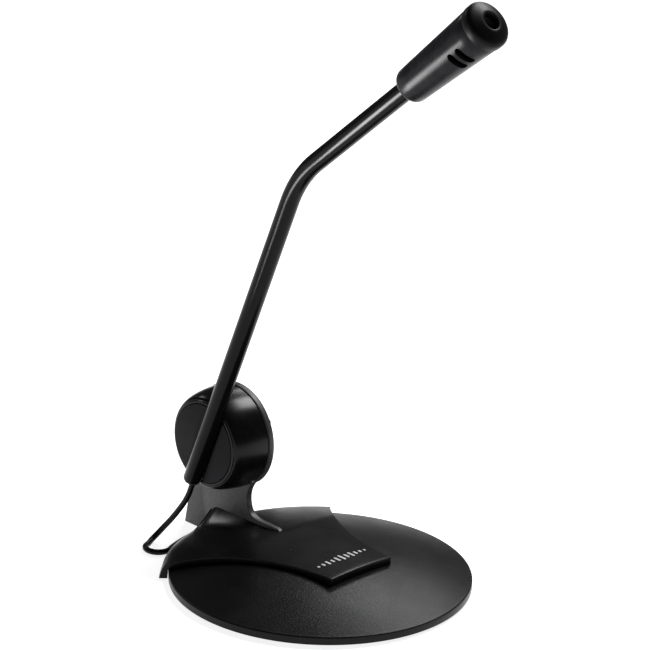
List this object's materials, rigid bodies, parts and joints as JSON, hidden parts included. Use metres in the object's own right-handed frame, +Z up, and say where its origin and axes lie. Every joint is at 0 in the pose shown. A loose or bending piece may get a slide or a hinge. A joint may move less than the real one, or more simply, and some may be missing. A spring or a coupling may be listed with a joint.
{
  "type": "desktop microphone",
  "caption": "Desktop microphone: weighted round base with a moulded cover, upright blade with a friction knob, bent boom tube, small head, lead and jack plug.",
  "frame": {"origin": "middle of the round base, on the surface the rubber pad stands on", "axes": "+Z up, -Y towards the speaker (the microphone's front), +X along the hinge axis, away from the knob"},
  "size_m": [0.1586, 0.2526, 0.2269],
  "materials": {
    "base_plastic": "fine spark-eroded grain",
    "floor_plastic": "matte",
    "cover_plastic": "satin",
    "blade_plastic": "satin",
    "flare_gloss": "polished",
    "mark_paint": "printed",
    "knob_gloss": "polished",
    "pad_grain": "fine grain",
    "tube_gloss": "gloss",
    "head_gloss": "gloss",
    "cap_matte": "satin",
    "rubber": "matte",
    "steel": "zinc plated",
    "screw_steel": "zinc plated",
    "spring_steel": "blued",
    "washer_nylon": "natural",
    "brass": "turned",
    "foam": "open foam",
    "capsule_can": "drawn",
    "board": "solder mask",
    "cable_skin": "smooth",
    "tie_plastic": "satin",
    "plug_rubber": "moulded",
    "contact_metal": "nickel plated",
    "band_plastic": "smooth"
  },
  "bodies": {
    "base": {"base_disc": "base_plastic", "ballast_plate": "steel", "bottom_plate": "floor_plastic", "foot_pad": "rubber", "base_screws": "screw_steel", "top_cover": "cover_plastic", "cover_screws": "screw_steel", "stand_blade": "blade_plastic", "blade_screws": "screw_steel", "neck_flares": "flare_gloss", "level_mark": "mark_paint", "pivot_bolt": "screw_steel", "bolt_washer": "steel", "pivot_cap": "knob_gloss", "friction_washer": "washer_nylon", "spring_washer": "spring_steel", "pivot_nut": "screw_steel", "lead_run": "cable_skin", "lead_coil": "cable_skin", "lead_tail": "cable_skin", "coil_tie": "tie_plastic", "plug_relief": "plug_rubber", "plug_grip": "plug_rubber", "plug_pin": "contact_metal", "plug_bands": "band_plastic"},
    "boom": {"knob": "knob_gloss", "knob_pads": "pad_grain", "clamp_screws": "screw_steel", "boom_tube": "tube_gloss", "cable_grommet": "rubber", "inner_cable": "cable_skin", "tube_collar": "brass", "head_shell": "head_gloss", "front_cap": "cap_matte", "dust_screen": "foam", "mic_capsule": "capsule_can", "capsule_boot": "rubber", "capsule_board": "board", "lead_stub": "cable_skin"}
  },
  "joints": [
    {"name": "boom_tilt", "type": "hinge", "parent": "base", "child": "boom", "pos_m": [0, 0.0467, 0.0435], "axis": [1, 0, 0], "range_deg": [-45, 55]}
  ]
}
